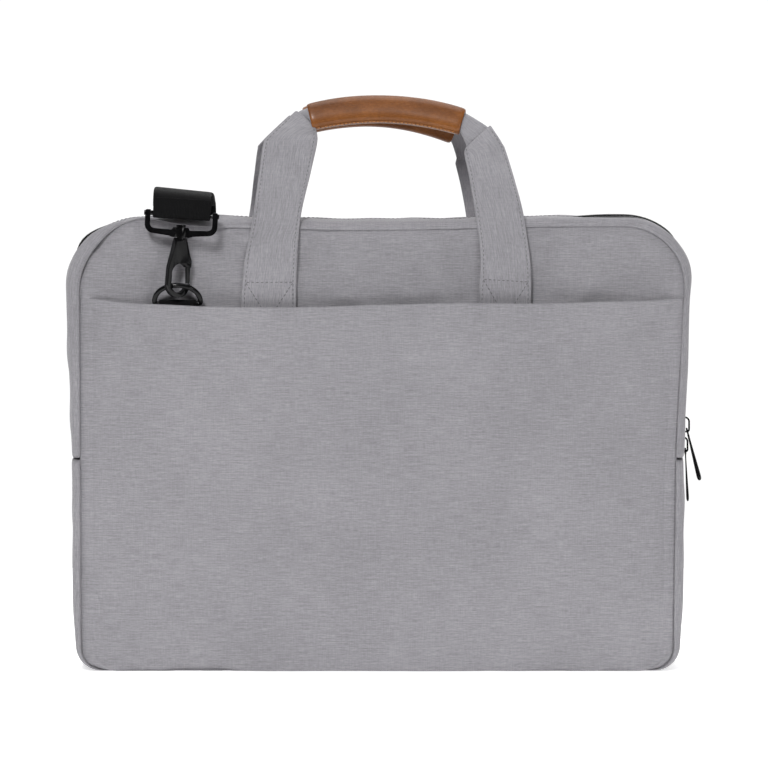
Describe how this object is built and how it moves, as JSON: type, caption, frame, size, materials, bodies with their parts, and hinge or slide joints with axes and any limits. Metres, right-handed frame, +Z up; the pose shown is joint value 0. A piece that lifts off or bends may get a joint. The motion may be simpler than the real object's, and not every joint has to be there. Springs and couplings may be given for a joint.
{
  "type": "laptop messenger bag",
  "caption": "Slim fabric laptop bag with twin leather-grip handles, a wrap-over two-way zip, an open front slip pocket and a clip-on webbing shoulder strap.",
  "frame": {"origin": "the middle of the bag's underside, on the surface it stands on", "axes": "+X along the bag's width, to the right as seen from the face with the slip pocket; +Y from that face to the back; +Z up"},
  "size_m": [0.4212, 0.1469, 0.3832],
  "materials": {
    "panel_fabric": "grey melange polyester weave",
    "gusset_fabric": "grey melange polyester weave",
    "lining_fabric": "smooth dark lining",
    "grey_webbing": "grey fabric folded and sewn flat",
    "black_webbing": "black woven webbing",
    "zip_tape": "black zip tape",
    "zip_coil": "black nylon coil",
    "grip_leather": "tan brown leather",
    "dark_metal": "glossy black-plated metal",
    "padding": "foam covered with lining",
    "board": "thin plastic board",
    "hook_and_loop": "hook-and-loop patch"
  },
  "bodies": {
    "bag": {"rear_panel": "panel_fabric", "lower_front_panel": "panel_fabric", "lower_gusset": "gusset_fabric", "rear_zip_gusset": "gusset_fabric", "rear_zip_tape": "zip_tape", "rear_zip_coil": "zip_coil", "gusset_lining": "lining_fabric", "rear_lining": "lining_fabric", "lower_front_lining": "lining_fabric", "bottom_stiffener": "board", "laptop_divider": "padding", "loop_patch": "hook_and_loop", "lower_slip_pocket": "panel_fabric", "handle_anchor_rear_left": "grey_webbing", "handle_anchor_rear_right": "grey_webbing", "d_ring_tab_rear": "black_webbing", "clasp_frame_rear": "dark_metal", "strap_end_rear": "black_webbing", "shoulder_strap": "black_webbing", "strap_adjuster": "dark_metal", "rear_pocket_tape": "zip_tape", "rear_pocket_coil": "zip_coil", "rear_pocket_pouch": "lining_fabric"},
    "front_flap": {"upper_front_panel": "panel_fabric", "upper_slip_pocket": "panel_fabric", "front_zip_gusset": "gusset_fabric", "front_zip_tape": "zip_tape", "front_zip_coil": "zip_coil", "upper_front_lining": "lining_fabric", "handle_anchor_front_left": "grey_webbing", "handle_anchor_front_right": "grey_webbing", "d_ring_tab_front": "black_webbing", "clasp_frame_front": "dark_metal", "strap_end_front": "black_webbing"},
    "front_handle": {"handle_web_front": "grey_webbing", "grip_sleeve_front": "grip_leather"},
    "rear_handle": {"handle_web_rear": "grey_webbing", "grip_sleeve_rear": "grip_leather"},
    "front_ring": {"d_ring_front": "dark_metal"},
    "rear_ring": {"d_ring_rear": "dark_metal"},
    "front_hook": {"snap_hook_front": "dark_metal", "gate_rivet_front": "dark_metal"},
    "rear_hook": {"snap_hook_rear": "dark_metal", "gate_rivet_rear": "dark_metal"},
    "front_gate": {"gate_front": "dark_metal"},
    "rear_gate": {"gate_rear": "dark_metal"},
    "upper_slider": {"zip_slider_upper": "dark_metal"},
    "lower_slider": {"zip_slider_lower": "dark_metal"},
    "upper_pull": {"zip_pull_upper": "dark_metal"},
    "lower_pull": {"zip_pull_lower": "dark_metal"},
    "pocket_slider": {"rear_pocket_slider": "dark_metal"},
    "pocket_pull": {"rear_pocket_pull": "dark_metal"},
    "laptop_strap": {"retaining_strap": "black_webbing", "hook_patch": "hook_and_loop"}
  },
  "joints": [
    {"name": "mouth_open", "type": "hinge", "parent": "bag", "child": "front_flap", "pos_m": [0, -0.0495, 0.142], "axis": [1, 0, 0], "range_deg": [0, 20], "deforming": ["shoulder_strap"]},
    {"name": "front_handle_swing", "type": "hinge", "parent": "front_flap", "child": "front_handle", "pos_m": [0, -0.0423, 0.26], "axis": [1, 0, 0], "range_deg": [0, 150]},
    {"name": "rear_handle_swing", "type": "hinge", "parent": "bag", "child": "rear_handle", "pos_m": [0, 0.0423, 0.26], "axis": [-1, 0, 0], "range_deg": [0, 150]},
    {"name": "upper_slider_run", "type": "slide", "parent": "bag", "child": "upper_slider", "axis": [0, 0, 1], "range_m": [0, 0.085]},
    {"name": "lower_slider_run", "type": "slide", "parent": "bag", "child": "lower_slider", "axis": [0, 0, 1], "range_m": [0, 0.085]},
    {"name": "upper_pull_swing", "type": "hinge", "parent": "upper_slider", "child": "upper_pull", "pos_m": [0.2058, 0, 0.1589], "axis": [0, -1, 0], "range_deg": [0, 75]},
    {"name": "lower_pull_swing", "type": "hinge", "parent": "lower_slider", "child": "lower_pull", "pos_m": [0.2058, 0, 0.1454], "axis": [0, -1, 0], "range_deg": [0, 28]},
    {"name": "pocket_slider_run", "type": "slide", "parent": "bag", "child": "pocket_slider", "axis": [1, 0, 0], "range_m": [0, 0.204]},
    {"name": "pocket_pull_swing", "type": "hinge", "parent": "pocket_slider", "child": "pocket_pull", "pos_m": [-0.0974, 0.0455, 0.185], "axis": [0, 1, 0], "range_deg": [-75, 55]},
    {"name": "front_hook_swivel", "type": "hinge", "parent": "front_flap", "child": "front_hook", "pos_m": [-0.1317, -0.0505, 0.3014], "axis": [0.061, 0, 0.9981], "range_deg": [0, 90]},
    {"name": "rear_hook_swivel", "type": "hinge", "parent": "bag", "child": "rear_hook", "pos_m": [0.1355, 0.0505, 0.1886], "axis": [0, 0, -1], "range_deg": [0, 90]},
    {"name": "front_gate_open", "type": "hinge", "parent": "front_hook", "child": "front_gate", "pos_m": [-0.12781, -0.04574, 0.27211], "axis": [-0.6416, 0.766, 0.0392], "range_deg": [0, 20], "stiffness_Nm_per_rad": 0.02, "springref_deg": -20.05},
    {"name": "rear_gate_open", "type": "hinge", "parent": "rear_hook", "child": "rear_gate", "pos_m": [0.14117, 0.04574, 0.2176], "axis": [-0.6428, -0.766, 0], "range_deg": [0, 20], "stiffness_Nm_per_rad": 0.02, "springref_deg": -20.05},
    {"name": "front_ring_rock", "type": "hinge", "parent": "front_flap", "child": "front_ring", "pos_m": [-0.1347, -0.0445, 0.2451], "axis": [1, 0, 0], "range_deg": [0, 3]},
    {"name": "rear_ring_rock", "type": "hinge", "parent": "bag", "child": "rear_ring", "pos_m": [0.136, 0.0445, 0.2451], "axis": [1, 0, 0], "range_deg": [0, 3]},
    {"name": "laptop_strap_lift", "type": "hinge", "parent": "bag", "child": "laptop_strap", "pos_m": [0, 0.0345, 0.262], "axis": [-1, 0, 0], "range_deg": [0, 60]}
  ],
  "couplings": [
    {"joint": "lower_slider_run", "follows": "upper_slider_run", "ratio": 1}
  ]
}
